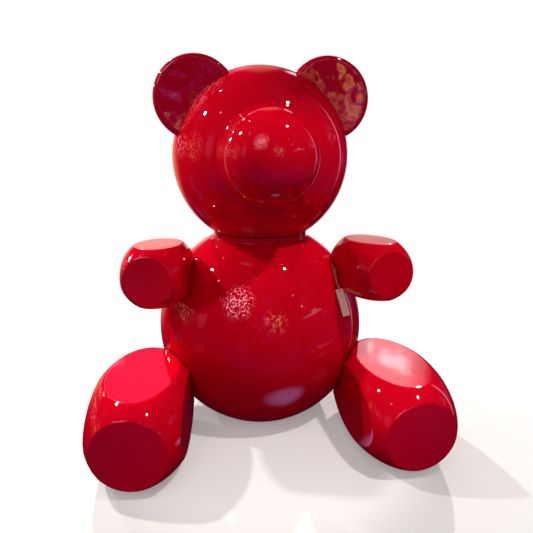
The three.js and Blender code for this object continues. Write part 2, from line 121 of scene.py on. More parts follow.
# The string's route: degrees forward from the side, degrees up, and metres above the body ball.
STRING_ROUTE = [
    (42.95, 28.5, 0.0063),
    (42.8, 29.9, 0.0063),
    (41.9, 31.6, 0.0044),
    (39.9, 34.8, 0.0017),
    (36.9, 38.3, 0.0017),
    (33.2, 41.4, 0.0017),
    (29.6, 43.2, 0.0017),
    (25.6, 43.2, 0.0017),
    (20.6, 41.2, 0.0017),
    (15.8, 38.2, 0.0017),
    (14.6, 34.6, 0.0017),
    (17.2, 31.0, 0.0017),
    (21.6, 29.8, 0.0017),
    (26.0, 31.4, 0.0017),
    (28.4, 35.4, 0.0017),
    (29.8, 39.0, 0.0017),
    (32.2, 40.2, 0.0017),
    (34.9, 37.9, 0.0017),
    (39.3, 34.1, 0.0017),
    (41.0, 31.9, 0.0025),
    (41.8, 30.8, 0.0049),
    (42.2, 29.8, 0.0067),
    (42.55, 28.6, 0.0066),
]

# ---- dimensions that only the looks have ----
TORSO_EDGE = 0.0015  # rounding of the torso's edges
NECK_FILLET = 0.004  # where the collar meets the body ball
HEAD_EDGE = 0.0015  # bevel where the head ball is cut flat
HEAD_SEAM = 0.0003  # between the head and the muzzle
MUZZLE_BACKING = 0.93  # how deep the hidden backs of head and muzzle lie, as a part of the head's radius
MUZZLE_BACK_GAP = 0.0004
EAR_GAP = 0.0004  # between an ear and the head ball
EAR_DISH_CURVE = 1.2  # how evenly the face's hollow deepens, 1 for a parabola
FACET_EDGES = {"arm": 0.0030, "leg": 0.0042}  # rounding of a limb's facet edges
SEAT_RADIUS = BODY_RADIUS + 0.0028  # a limb's hollow, which slides round the body ball
TAG_CLIP = 0.0012  # off the card's upper corners, which are square in the CAD
TAG_BEND = 0.0008  # how far the card's middle stands out from its ends
HOLE_CLEAR = 0.01  # how far outside the surface a cutting rod begins
HOLE_DEPTH = 0.02  # how far into the piece it reaches
HEAD_CUT_REACH = 0.3  # radius of the rod that cuts the head ball flat
RIM_ANGLE = 0.5  # radians across the edge of that cut, at least
IN_PLANE = 1e-5  # how near the cut that edge lies

# ---- fineness of the surfaces ----
ROUND = 160  # sides of every large round
ROD_SIDES = 48
SCREW_SIDES = 24
HEAD_CUT_SIDES = 96
EAR_CUT_SIDES = 192
SEAT_SIDES = 256
SPOKES = 128  # around each facet of a limb, a multiple of 8
FACET_RINGS = (0, 0.2, 0.4, 0.6, 0.8, 0.93, 0.985, 1)  # as parts of the facet's flat radius
EDGE_STEPS = 6  # across a facet's rounded edge
SIDE_STEPS = 5  # from that edge to where the next side begins
REAR_STEPS = 24  # from the middle of the rear to where the next side begins
EAR_STEPS = 16  # across the ear's face
TAG_SIDES = 360
TAG_STEPS = 14  # from the card's hole to its edge
STRING_STEPS = 6  # from one stop of the route to the next
WELD = 1e-6
SHARP_ANGLE = math.radians(35)  # a steeper corner stays sharp

torso_low, torso_high = (Vector(corner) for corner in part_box("torso_shell"))
BODY = Vector(
    (
        (torso_low.x + torso_high.x) / 2,
        (torso_low.y + torso_high.y) / 2,
        torso_low.z + BASE_DEPTH,
    )
)
HEAD = BODY + Vector((0, 0, HEAD_HEIGHT))


def direction(side, forward, up):
    """Unit vector from the middle of the body: degrees forward from the side, and degrees up."""
    turn, rise = math.radians(forward), math.radians(up)
    level = math.cos(rise)
    return Vector((side * level * math.cos(turn), -level * math.sin(turn), math.sin(rise)))


# ---- camera ----
CAMERA_PLACE = Vector((-0.1480, -1.4263, 0.5577))  # from the middle of the body
CAMERA_PAN = math.radians(-6.65)
CAMERA_TILT = math.radians(-15.36)
CAMERA_ROLL = math.radians(0.24)
CAMERA_LENS = 34.82  # mm
CAMERA_SENSOR = 36  # mm


def add_camera():
    data = bpy.data.cameras.new("camera")
    data.lens = CAMERA_LENS
    data.sensor_width = CAMERA_SENSOR
    camera = bpy.data.objects.new("camera", data)
    turn = Matrix.Rotation(CAMERA_PAN, 4, "Z") @ Matrix.Rotation(math.pi / 2 + CAMERA_TILT, 4, "X")
    roll = Matrix.Rotation(CAMERA_ROLL, 4, "Z")
    camera.matrix_world = Matrix.Translation(BODY + CAMERA_PLACE) @ turn @ roll
    bpy.context.collection.objects.link(camera)
    bpy.context.scene.camera = camera


add_camera()


# ---- shader helpers ----
def new_material(name):
    material = bpy.data.materials.new(name)
    material.use_nodes = True
    tree = material.node_tree
    return material, tree, tree.nodes["Principled BSDF"]


def add(tree, kind, settings=None, **inputs):
    """A node with its properties set. Inputs are set or linked by name, or by place as _0, _1 and so on."""
    made = tree.nodes.new(kind)
    for name, value in (settings or {}).items():
        setattr(made, name, value)
    for name, value in inputs.items():
        socket = made.inputs[int(name[1:])] if name[0] == "_" else made.inputs[name.replace("_", " ")]
        if isinstance(value, bpy.types.NodeSocket):
            tree.links.new(value, socket)
        else:
            socket.default_value = value
    return made


def noise(tree, scale, detail=3.0, roughness=0.5):
    where = add(tree, "ShaderNodeTexCoord").outputs["Object"]
    made = add(tree, "ShaderNodeTexNoise", Vector=where, Scale=scale, Detail=detail, Roughness=roughness)
    return made.outputs[0]


def ramp(tree, value, stops):
    made = add(tree, "ShaderNodeValToRGB", Fac=value)
    elements = made.color_ramp.elements
    while len(elements) < len(stops):
        elements.new(0.5)
    for element, (place, colour) in zip(elements, stops):
        element.position = place
        element.color = (*colour, 1)
    return made.outputs["Color"]


def spread(tree, value, low, high):
    """Takes a noise, which seldom leaves 0.3 to 0.7, to the range from low to high."""
    return add(tree, "ShaderNodeMapRange", _0=value, _1=0.3, _2=0.7, _3=low, _4=high).outputs[0]


def smooth_step(tree, value, start, end, low, high):
    """Goes smoothly from low to high as the value goes from start to end."""
    settings = {"interpolation_type": "SMOOTHSTEP"}
    made = add(tree, "ShaderNodeMapRange", settings, _0=value, _1=start, _2=end, _3=low, _4=high)
    return made.outputs[0]


def distance(tree, place):
    return add(tree, "ShaderNodeVectorMath", {"operation": "LENGTH"}, _0=place).outputs["Value"]


def oval_space(tree, place, **inputs):
    """Places as seen from an oval's own middle, in units of its half widths."""
    return add(tree, "ShaderNodeMapping", {"vector_type": "TEXTURE"}, Vector=place, **inputs).outputs[0]


def mix(tree, amount, first, second):
    return add(tree, "ShaderNodeMixShader", _0=amount, _1=first.outputs[0], _2=second.outputs[0])


def show(tree, shader):
    tree.links.new(shader.outputs[0], tree.nodes["Material Output"].inputs["Surface"])


def bumps(tree, shader, heights):
    """Stacks bumps from (height, distance in metres) pairs onto the shader's normal."""
    normal = None
    for height, reach in heights:
        made = add(tree, "ShaderNodeBump", Height=height, Distance=reach, Strength=1.0)
        if normal is not None:
            tree.links.new(normal, made.inputs["Normal"])
        normal = made.outputs["Normal"]
    tree.links.new(normal, shader.inputs["Normal"])
    return normal


# ---- materials ----
ORANGE_PEEL = 0.000012  # metres


def lacquer(name, deep, bright, waviness, wave_scale):
    """Pigmented lacquer under clear coat.

    It has the slow waves of a hand-finished shell, fine orange peel and faint wipe marks.
    """
    material, tree, shader = new_material(name)
    clouds = noise(tree, scale=3.0, detail=2.0)
    tree.links.new(ramp(tree, clouds, [(0.35, deep), (0.65, bright)]), shader.inputs["Base Color"])
    wipe = noise(tree, scale=26.0, detail=5.0, roughness=0.65)
    tree.links.new(spread(tree, wipe, low=0.5, high=0.6), shader.inputs["Roughness"])
    shader.inputs["IOR"].default_value = 1.5
    shader.inputs["Specular IOR Level"].default_value = 0.0
    shader.inputs["Coat Weight"].default_value = 1.0
    shader.inputs["Coat Roughness"].default_value = 0.02
    shader.inputs["Coat IOR"].default_value = 1.52
    peel = noise(tree, scale=420.0, detail=2.0)
    waves = noise(tree, wave_scale, detail=1.5, roughness=0.4)
    normal = bumps(tree, shader, [(waves, waviness), (peel, ORANGE_PEEL)])
    tree.links.new(normal, shader.inputs["Coat Normal"])
    return material


def plain(name, dark, light, scale, rough, bump, metallic=0.0, grain=None):
    """A mottled material: two colours of one noise, a roughness range and a bump, in metres."""
    material, tree, shader = new_material(name)
    mottle = noise(tree, scale, detail=4.0, roughness=0.6)
    tree.links.new(ramp(tree, mottle, [(0.3, dark), (0.7, light)]), shader.inputs["Base Color"])
    tree.links.new(spread(tree, mottle, *rough), shader.inputs["Roughness"])
    shader.inputs["Metallic"].default_value = metallic
    fine = noise(tree, grain or scale * 6, detail=3.0, roughness=0.7)
    bumps(tree, shader, [(fine, bump)])
    return material


LACQUER = lacquer(
    "red_lacquer",
    (0.56, 0.0004, 0.0088),
    (0.645, 0.0006, 0.0120),
    waviness=0.00045,
    wave_scale=9.0,
)
# The ears wear the body's red lacquer, painted darker and bluer: painted shade, and a painted violet tint of
# the light on them.
SHADED_EAR_LACQUER = lacquer(
    "shaded_red_lacquer_ears",
    (0.46, 0.0005, 0.014),
    (0.54, 0.0007, 0.019),
    waviness=0.0016,
    wave_scale=20.0,
)
# Each plain material has a dark and a light colour, a scale of the mottling, a roughness range and a bump.
SLOT_MATERIALS = {
    "lacquer": LACQUER,
    "steel": plain("zinc_steel", (0.42, 0.42, 0.43), (0.62, 0.62, 0.60), 60, (0.28, 0.45), 0.00002, 1.0),
    "nylon": plain("nylon", (0.030, 0.026, 0.024), (0.045, 0.040, 0.036), 40, (0.4, 0.55), 0.00003),
    "rubber": plain("black_rubber", (0.012, 0.012, 0.012), (0.03, 0.03, 0.03), 90, (0.7, 0.9), 0.00012),
    "laminate": plain("glass_laminate", (0.03, 0.022, 0.018), (0.07, 0.055, 0.045), 25, (0.5, 0.75), 0.0003),
    "card": plain("tag_card", (0.88, 0.55, 0.49), (0.96, 0.62, 0.56), 60, (0.8, 0.95), 0.00004, grain=900),
    "twine": plain("tag_twine", (0.55, 0.47, 0.40), (0.75, 0.68, 0.60), 900, (0.85, 0.98), 0.0001),
}


# ---- mesh helpers ----
def link(name, data):
    made = bpy.data.objects.new(name, data)
    bpy.context.collection.objects.link(made)
    return made


def circle(sides):
    """Angles all the way round."""
    return [2 * math.pi * j / sides for j in range(sides)]


def surface(name, sheets):
    """One closed mesh from sheets of quads. A sheet is a list of rings with the same number of points."""
    points, quads = [], []
    for rings in sheets:
        start, count = len(points), len(rings[0])
        for ring in rings:
            points.extend(ring)
        for i in range(len(rings) - 1):
            for j in range(count):
                a, b = start + i * count + j, start + i * count + (j + 1) % count
                quads.append((a, b, b + count, a + count))
    shape = bmesh.new()
    corners = [shape.verts.new(point) for point in points]
    for quad in quads:
        shape.faces.new([corners[i] for i in quad])
    bmesh.ops.remove_doubles(shape, verts=shape.verts, dist=WELD)
    bmesh.ops.dissolve_degenerate(shape, edges=shape.edges, dist=WELD)
    bmesh.ops.recalc_face_normals(shape, faces=shape.faces)
    mesh = bpy.data.meshes.new(name)
    shape.to_mesh(mesh)
    shape.free()
    return link(name, mesh)


def lathe(name, outline, matrix, sides=ROUND):
    """A solid turned about Z from (radius, height) points, then placed."""
    angles = circle(sides)
    rings = []
    for radius, height in outline:
        ring = [Vector((radius * math.cos(a), radius * math.sin(a), height)) for a in angles]
        rings.append([matrix @ point for point in ring])
    return surface(name, [rings])


def arc(middle, radius, start, end, steps):
    """Points on an arc about a (radius, height) middle, its angles measured from the outward radius."""
    angles = [start + (end - start) * i / steps for i in range(steps + 1)]
    return [(middle[0] + radius * math.cos(a), middle[1] + radius * math.sin(a)) for a in angles]


def bake(piece):
    """Applies the piece's modifiers to its mesh."""
    graph = bpy.context.evaluated_depsgraph_get()
    solved = piece.evaluated_get(graph)
    mesh = bpy.data.meshes.new_from_object(solved, preserve_all_data_layers=True, depsgraph=graph)
    piece.modifiers.clear()
    piece.data = mesh


def carve(piece, tools):
    """Cuts the tools out of the piece, and removes them."""
    for tool in tools:
        change = piece.modifiers.new("carve", "BOOLEAN")
        change.object = tool
        change.operation = "DIFFERENCE"
        change.solver = "EXACT"
    bake(piece)
    for tool in tools:
        bpy.data.objects.remove(tool)


def rod(radius, low, high, matrix, sides=ROD_SIDES):
    return lathe("tool", [(0, low), (radius, low), (radius, high), (0, high)], matrix, sides)


def ball(radius, middle, sides):
    outline = arc((0, 0), radius, -math.pi / 2, math.pi / 2, steps=sides // 2)
    outline[0], outline[-1] = (0, -radius), (0, radius)
    return lathe("tool", outline, Matrix.Translation(middle), sides)


def from_body(way):
    """Takes +Z to the given direction from the middle of the body."""
    return Matrix.Translation(BODY) @ way.to_track_quat("Z", "Y").to_matrix().to_4x4()


def finish(piece, body, material, nodes, weigh=True):
    """Smooth shading with sharp corners, and what the frame has to know about the piece."""
    piece.data.shade_smooth()
    piece.data.set_sharp_from_angle(angle=SHARP_ANGLE)
    if weigh:
        change = piece.modifiers.new("normals", "WEIGHTED_NORMAL")
        change.keep_sharp = True
        bake(piece)
    piece.data.materials.clear()
    piece.data.materials.append(material)
    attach(piece, body)
    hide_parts(*nodes)


# ---- the string and the tag: the cord comes first ----
def on_body(forward, up, lift):
    return BODY + direction(1, forward, up) * (BODY_RADIUS + lift)


def smooth_line(points, steps):
    """A Catmull-Rom line through the points, with the given steps from one to the next."""
    ends = [2 * points[0] - points[1], *points, 2 * points[-1] - points[-2]]
    line = []
    for i in range(1, len(ends) - 2):
        a, b, c, d = ends[i - 1 : i + 3]
        for k in range(steps):
            t = k / steps
            square = 2 * a - 5 * b + 4 * c - d
            cube = 3 * b - a - 3 * c + d
            line.append(0.5 * (2 * b + (c - a) * t + square * t**2 + cube * t**3))
    return [*line, points[-1]]


def add_string():
    line = smooth_line([on_body(*stop) for stop in STRING_ROUTE], STRING_STEPS)
    curve = bpy.data.curves.new("tag_cord", "CURVE")
    curve.dimensions = "3D"
    curve.bevel_depth = STRING_RADIUS
    curve.bevel_resolution = 3
    curve.use_fill_caps = True
    spline = curve.splines.new("POLY")
    spline.points.add(len(line) - 1)
    for point, place in zip(spline.points, line):
        point.co = (*place, 1)
    curve.materials.append(SLOT_MATERIALS["twine"])
    cord = link("tag_cord", curve)
    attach(cord, "torso")
    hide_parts("tag_string")
    length = sum((b - a).length for a, b in zip(line, line[1:]))
    return cord, line, length


def tag_radius(angle):
    """Distance from the tag's hole to its edge, a rectangle with clipped upper corners."""
    way = (math.cos(angle), math.sin(angle))
    top = TAG_LENGTH / 2 - TAG_HOLE_UP
    slant = math.sqrt(0.5)
    corner = (TAG_WIDTH / 2 + top - TAG_CLIP) * slant
    lines = [
        ((1, 0), TAG_WIDTH / 2),
        ((-1, 0), TAG_WIDTH / 2),
        ((0, 1), top),
        ((0, -1), TAG_LENGTH / 2 + TAG_HOLE_UP),
        ((slant, slant), corner),
        ((-slant, slant), corner),
    ]
    facing = [(way[0] * normal[0] + way[1] * normal[1], reach) for normal, reach in lines]
    return min(reach / share for share, reach in facing if share > 1e-6)


def add_tag():
    """A card that leans on the body by one edge, and bends a little along its length."""
    middle = on_body(*TAG_SPOT, TAG_HEIGHT)
    normal = direction(1, *TAG_FACING)
    across = Vector((0, 0, 1)).cross(normal).normalized()
    up = normal.cross(across)

    def ring(part, level):
        made = []
        for angle in circle(TAG_SIDES):
            reach = TAG_HOLE + (tag_radius(angle) - TAG_HOLE) * part
            x, y = reach * math.cos(angle), TAG_HOLE_UP + reach * math.sin(angle)
            bend = TAG_BEND * (1 - (2 * y / TAG_LENGTH) ** 2)
            made.append(middle + across * x + up * y + normal * (level + bend))
        return made

    low, high = -TAG_THICKNESS / 2, TAG_THICKNESS / 2
    parts = [i / TAG_STEPS for i in range(TAG_STEPS + 1)]
    rings = [ring(part, low) for part in parts] + [ring(part, high) for part in reversed(parts)]
    tag = surface("blank_tag", [[*rings, rings[0]]])
    finish(tag, "torso", SLOT_MATERIALS["card"], ["swing_tag"], weigh=False)


cord, cord_line, cord_length = add_string()
add_tag()


# ---- torso ----
def torso_outline():
    """Up the outside from the opening in the flat underside to the collar, and down the inside."""
    low = -BASE_DEPTH
    foot = math.asin((low + TORSO_EDGE) / BODY_RADIUS)
    foot_radius = BODY_RADIUS * math.cos(foot)
    # The middle of a fillet circle that touches both the collar and the ball.
    across = NECK_RADIUS + NECK_FILLET
    up = math.sqrt((BODY_RADIUS + NECK_FILLET) ** 2 - across**2)
    shoulder = math.atan2(up, across)
    lid = COLLAR_TOP - COLLAR_LID
    inner = BODY_RADIUS - WALL
    inner_foot = math.asin((low + WALL) / inner)
    inner_neck = math.acos((NECK_RADIUS - WALL) / inner)
    # The edges of the flat underside are only cut off, because they hardly show.
    return [
        (BASE_OPENING, low + WALL),
        (BASE_OPENING, low + TORSO_EDGE / 2),
        (BASE_OPENING + TORSO_EDGE / 2, low),
        (foot_radius - 2 * TORSO_EDGE, low),
        (foot_radius - 0.6 * TORSO_EDGE, low + 0.25 * TORSO_EDGE),
        *arc((0, 0), BODY_RADIUS, foot, shoulder, steps=120),
        *arc((across, up), NECK_FILLET, shoulder + math.pi, math.pi, steps=6)[1:],
        *arc((NECK_RADIUS - TORSO_EDGE, COLLAR_TOP - TORSO_EDGE), TORSO_EDGE, 0, math.pi / 2, steps=4),
        (NECK_HOLE, COLLAR_TOP),
        (NECK_HOLE, lid),
        (NECK_RADIUS - WALL, lid),
        *arc((0, 0), inner, inner_neck, inner_foot, steps=60),
        (BASE_OPENING, low + WALL),
    ]


def add_torso():
    torso = lathe("torso_skin", torso_outline(), Matrix.Translation(BODY))
    tools = []
    for limb in LIMBS.values():
        for side in HANDS.values():
            place = from_body(direction(side, *limb["hub"]))
            tools.append(rod(BUSH_HOLE, BODY_RADIUS - HOLE_DEPTH, BODY_RADIUS + HOLE_CLEAR, place))
    for angle in circle(BASE_SCREWS):
        spot = BODY + Vector((math.cos(angle), math.sin(angle), 0)) * BASE_SCREW_CIRCLE
        place = Matrix.Translation(spot)
        tools.append(rod(BASE_SCREW_HOLE, -BASE_DEPTH - WALL, -BASE_DEPTH + 2 * WALL, place, SCREW_SIDES))
    carve(torso, tools)
    finish(torso, "torso", LACQUER, ["torso_shell"])


# ---- head ----
TO_MUZZLE = Matrix.Translation(HEAD) @ Matrix.Rotation(math.pi / 2 - MUZZLE_TILT, 4, "X")


def muzzle_fillet():
    """The middle of the fillet that touches both the head ball and the dome, and the angles where it does."""
    to_head = HEAD_RADIUS + MUZZLE_FILLET
    to_dome = MUZZLE_RADIUS + MUZZLE_FILLET
    height = (to_head**2 - to_dome**2 + MUZZLE_REACH**2) / (2 * MUZZLE_REACH)
    across = math.sqrt(to_head**2 - height**2)
    foot = math.atan2(height, across)
    waist = math.atan2(height - MUZZLE_REACH, across)
    return (across, height), foot, waist


def add_head():
    middle, foot, waist = muzzle_fillet()
    seam = HEAD_SEAM / HEAD_RADIUS
    inside = MUZZLE_BACKING * HEAD_RADIUS
    back = (inside * math.cos(foot), inside * math.sin(foot))
    shell = [
        (0, -HEAD_RADIUS),
        *arc((0, 0), HEAD_RADIUS, -math.pi / 2, foot - seam, steps=130)[1:],
        back,
        (0, back[1]),
    ]
    head = lathe("head_skin", shell, TO_MUZZLE)
    bottom = BODY.z + HEAD_FOOT
    place = Matrix.Translation((HEAD.x, HEAD.y, 0))
    carve(head, [rod(HEAD_CUT_REACH, -HEAD_CUT_REACH, bottom, place, HEAD_CUT_SIDES)])
    bevel_foot(head, bottom)
    finish(head, "head", LACQUER, ["head_shell"])

    dome = [
        (0, MUZZLE_REACH + MUZZLE_RADIUS),
        *arc((0, MUZZLE_REACH), MUZZLE_RADIUS, math.pi / 2, waist, steps=60)[1:],
        *arc(middle, MUZZLE_FILLET, waist + math.pi, foot + math.pi, steps=20)[1:],
        (back[0] - MUZZLE_BACK_GAP, back[1] + MUZZLE_BACK_GAP),
        (0, back[1] + MUZZLE_BACK_GAP),
    ]
    muzzle = lathe("muzzle_skin", dome, TO_MUZZLE)
    finish(muzzle, "head", LACQUER, ["muzzle_shell"])


def bevel_foot(head, bottom):
    """Rounds the edge where the head ball is cut flat."""
    shape = bmesh.new()
    shape.from_mesh(head.data)
    cut = [edge for edge in shape.edges if all(abs(end.co.z - bottom) < IN_PLANE for end in edge.verts)]
    rim = [edge for edge in cut if edge.calc_face_angle(0) > RIM_ANGLE]
    bmesh.ops.bevel(shape, geom=rim, offset=HEAD_EDGE, segments=3, affect="EDGES", profile=0.5)
    shape.to_mesh(head.data)
    shape.free()


def ear_outline():
    """From the middle of the rounded back, around the rim, to the middle of the dished face."""
    face = EAR_RADIUS - EAR_FRONT
    outline = [
        (0, -EAR_BACK),
        *arc((EAR_RADIUS - EAR_BACK, 0), EAR_BACK, -math.pi / 2, 0, steps=24),
        *arc((face, 0), EAR_FRONT, 0, math.pi / 2, steps=14)[1:],
    ]
    for i in range(1, EAR_STEPS + 1):
        part = 1 - i / EAR_STEPS
        outline.append((face * part, EAR_FRONT - EAR_DISH * (1 - part**2) ** EAR_DISH_CURVE))
    return outline


def add_ears():
    for hand, side in HANDS.items():
        spot = Matrix.Translation(HEAD + Vector((side * EAR_X, EAR_Y, EAR_Z)))
        place = spot @ Matrix.Rotation(math.pi / 2 - EAR_TILT, 4, "X")
        ear = lathe(f"{hand}_ear_skin", ear_outline(), place)
        carve(ear, [ball(HEAD_RADIUS + EAR_GAP, HEAD, EAR_CUT_SIDES)])
        finish(ear, "head", SHADED_EAR_LACQUER, [f"{hand}_ear"])


# ---- limbs ----
AXES = [Vector((1, 0, 0)), Vector((0, 1, 0)), Vector((0, 0, 1))]
REAR = 1  # the egg's axis whose positive end has no facet


def egg_sheets(length, width, edge):
    """Six sheets of rings that cover an egg: one about each end of its axes, cut flat but for the rear."""
    scale = Vector((width, length, width))
    sheets = []
    for k in range(3):
        for sign in (1, -1):
            axes = (AXES[k] * sign, AXES[(k + 1) % 3], AXES[(k + 2) % 3])
            depth = EGG_FRONT if k == REAR else EGG_SIDE
            if k == REAR and sign > 0:
                depth = None
            spokes = [egg_spoke(axes, angle, scale, depth, edge) for angle in circle(SPOKES)]
            sheets.append([list(ring) for ring in zip(*spokes)])
    return sheets


def scaled(point, scale):
    return Vector((point.x * scale.x, point.y * scale.y, point.z * scale.z))


def egg_spoke(axes, angle, scale, depth, edge):
    """Points from the middle of one side of the egg out to where the next side's points begin.

    They are made on a ball, then scaled. depth is where the facet cuts the ball, or None.
    """
    normal, first, second = axes
    out = first * math.cos(angle) + second * math.sin(angle)
    end = math.atan(1 / max(abs(math.cos(angle)), abs(math.sin(angle))))

    def on_ball(polar):
        return scaled(normal * math.cos(polar) + out * math.sin(polar), scale)

    if depth is None:
        return [on_ball(end * i / REAR_STEPS) for i in range(REAR_STEPS + 1)]
    corner_angle = math.acos(depth)
    corner_radius = math.sin(corner_angle)
    flat = corner_radius - edge / scaled(out, scale).length
    slope = scaled(out * math.cos(corner_angle) - normal * math.sin(corner_angle), scale)
    start = corner_angle + edge / slope.length
    spoke = [scaled(normal * depth + out * flat * part, scale) for part in FACET_RINGS]
    inner, outer = spoke[-1], on_ball(start)
    corner = scaled(normal * depth + out * corner_radius, scale)
    for i in range(1, EDGE_STEPS + 1):
        t = i / EDGE_STEPS
        spoke.append(inner * (1 - t) ** 2 + corner * 2 * t * (1 - t) + outer * t**2)
    spoke += [on_ball(start + (end - start) * i / SIDE_STEPS) for i in range(1, SIDE_STEPS + 1)]
    return spoke


def add_limb(kind, hand, side):
    limb = LIMBS[kind]
    x, y, z = limb["place"]
    yaw = Matrix.Rotation(math.radians(side * limb["yaw"]), 4, "Z")
    pitch = Matrix.Rotation(math.radians(-limb["pitch"]), 4, "X")
    place = Matrix.Translation(BODY + Vector((side * x, y, z))) @ yaw @ pitch
    sheets = egg_sheets(limb["length"], limb["width"], FACET_EDGES[kind])
    placed = [[[place @ point for point in ring] for ring in rings] for rings in sheets]
    skin = surface(f"{hand}_{kind}_skin", placed)
    seat = ball(SEAT_RADIUS, BODY, SEAT_SIDES)
    hub = from_body(direction(side, *limb["hub"]))
    hole = rod(AXLE_HOLE, SEAT_RADIUS - HOLE_CLEAR, SEAT_RADIUS + HOLE_DEPTH, hub)
    carve(skin, [seat, hole])
    finish(skin, f"{hand}_{kind}", LACQUER, [f"{hand}_{kind}_shell"])


add_torso()
add_head()
add_ears()
for hand, side in HANDS.items():
    for kind in LIMBS:
        add_limb(kind, hand, side)


# ---- the carried-over CAD nodes take their materials ----
def dress_frame():
    slots = {part["node"]: part["material_slot"] for part in frame["record"]["subparts"]}
    for name, piece in frame["nodes"].items():
        for slot in piece.material_slots:
            slot.material = SLOT_MATERIALS[slots[name]]


dress_frame()


# ---- floor ----
FLOOR_RADIUS = 9.0
FLOOR_FADE = (0.5, 1.4)  # distances from the middle of the floor
FLOOR_GLOW = (0.25, 1.0)  # how much of the floor's look is plain white at those distances
MIRROR_FLOOR = 1.1  # radius of the floor that the lacquer sees
MIRROR_FLOOR_DROP = 0.001  # below the other floor
# A painted pool of light and painted shade, in the floor that only the lacquer mirrors.
FLOOR_PATCH = (0.085, -0.31)  # from the middle of the body
FLOOR_PATCH_SIZE = (0.095, 0.06)  # half widths
FLOOR_PAINTED_SHADE = (0.03, 0.003, 0.012)
FLOOR_PAINTED_LIGHT = (0.85, 0.62, 1.6)
DISC_STEPS = 24
DISC_SIDES = 96
OVAL_END = 1.3  # where an oval of light ends, in units of its half widths
FLOOR_OVAL_FULL = 0.4  # where an oval on the floor has its full strength


def disc(name, radius, height):
    """A round sheet that faces up, with finer rings near its middle."""
    rings = []
    for i in range(DISC_STEPS + 1):
        reach = radius * (i / DISC_STEPS) ** 2
        rings.append([Vector((reach * math.cos(a), reach * math.sin(a), height)) for a in circle(DISC_SIDES)])
    sheet = surface(name, [rings])
    for face in sheet.data.polygons:
        if face.normal.z < 0:
            face.flip()
    return sheet


def add_floor():
    """A pale round floor, lit near the figure and fading into the white around it."""
    floor = disc("floor", FLOOR_RADIUS, 0)
    material, tree, shader = new_material("pale_floor")
    speckle = noise(tree, scale=3.0)
    pale = ramp(tree, speckle, [(0.3, (0.93, 0.93, 0.93)), (0.7, (0.97, 0.97, 0.97))])
    tree.links.new(pale, shader.inputs["Base Color"])
    shader.inputs["Roughness"].default_value = 0.7
    shader.inputs["Specular IOR Level"].default_value = 0.1
    where = add(tree, "ShaderNodeTexCoord").outputs["Object"]
    fade = smooth_step(tree, distance(tree, where), *FLOOR_FADE, *FLOOR_GLOW)
    glow = add(tree, "ShaderNodeEmission", Color=(1, 1, 1, 1), Strength=1.0)
    show(tree, mix(tree, fade, shader, glow))
    floor.data.materials.append(material)
    floor.visible_glossy = False
    floor.visible_diffuse = False


def add_mirrored_floor():
    """A painted reflection of the floor, a glowing sheet that only the lacquer sees: painted shade under the
    figure, with a painted pool of cool light in front.
    """
    sheet = disc("mirrored_floor", MIRROR_FLOOR, -MIRROR_FLOOR_DROP)
    material, tree, shader = new_material("mirrored_floor")
    tree.nodes.remove(shader)
    where = add(tree, "ShaderNodeTexCoord").outputs["Object"]

    def oval(x, y, wide, deep):
        place = (BODY.x + x, BODY.y + y, 0)
        local = oval_space(tree, where, Location=place, Scale=(wide, deep, 1))
        return smooth_step(tree, distance(tree, local), OVAL_END, FLOOR_OVAL_FULL, 0.0, 1.0)

    # Painted shade under the figure, with a painted pool of cool light in front.
    patch = ramp(tree, oval(*FLOOR_PATCH, *FLOOR_PATCH_SIZE), [(0.0, FLOOR_PAINTED_SHADE), (1.0, FLOOR_PAINTED_LIGHT)])
    glow = add(tree, "ShaderNodeEmission", Color=patch, Strength=1.0)
    clear = add(tree, "ShaderNodeBsdfTransparent")
    here = oval(0, 0, MIRROR_FLOOR / OVAL_END, MIRROR_FLOOR / OVAL_END)
    show(tree, mix(tree, here, clear, glow))
    sheet.data.materials.append(material)
    sheet.visible_camera = False
    sheet.visible_diffuse = False
    sheet.visible_shadow = False
    sheet.visible_transmission = False


# ---- room ----
# What the lacquer mirrors of the room: azimuth, elevation, half width and half height in degrees, colour,
# strength, and how fine its pattern is, 0 for a plain patch.
PANELS = [
    (-35, 37, 15, 17, (1.0, 0.52, 0.68), 17.0, 26),  # a far cluster of small lights
    (12, 18, 12, 13, (1.0, 0.46, 0.16), 5.5, 13),  # warmer lights
    (60, 16, 17, 1.4, (0.80, 0.58, 1.0), 1.5, 0),  # a lit shelf
    (60, 18, 4, 2.0, (0.80, 0.65, 1.0), 1.5, 0),
    (104, 15, 10, 8, (1.0, 0.45, 0.70), 1.6, 12),
    (-74, 13, 6, 12, (1.0, 0.18, 0.34), 1.1, 0),  # a dim window
    (-100, 9, 15, 12, (1.0, 0.34, 0.14), 3.5, 26),
    (-132, 7, 18, 9, (1.0, 0.48, 0.50), 2.4, 22),
    (10, -50, 70, 26, (0.30, 0.04, 1.0), 0.22, 0),  # the floor in front
    (-4, 10, 14, 13, (0.50, 0.14, 1.0), 2.2, 8),
    (-166, -6, 26, 14, (1.0, 0.40, 0.22), 1.0, 0),  # the bright floor and wall behind
    (161, -8, 13, 13, (1.0, 0.80, 0.74), 1.6, 0),
    (159.3, 25, 4, 9, (1.0, 0.70, 0.76), 2.6, 0),
    (159.3, 25, 3.6, 6, (1.0, 0.80, 0.86), 3.6, 15),
    (175, 30, 8, 20, (1.0, 0.42, 0.32), 0.7, 0),
    (-172, 5, 8, 5, (1.0, 0.60, 0.60), 0.75, 0),
    (-172, 27, 9, 9, (1.0, 0.08, 0.26), 1.6, 0),
    (-166, 25, 3, 12, (1.0, 0.60, 0.66), 3.5, 8),
    (118, 8, 1.5, 26, (1.0, 0.50, 0.62), 2.2, 0),  # a lit upright edge
]
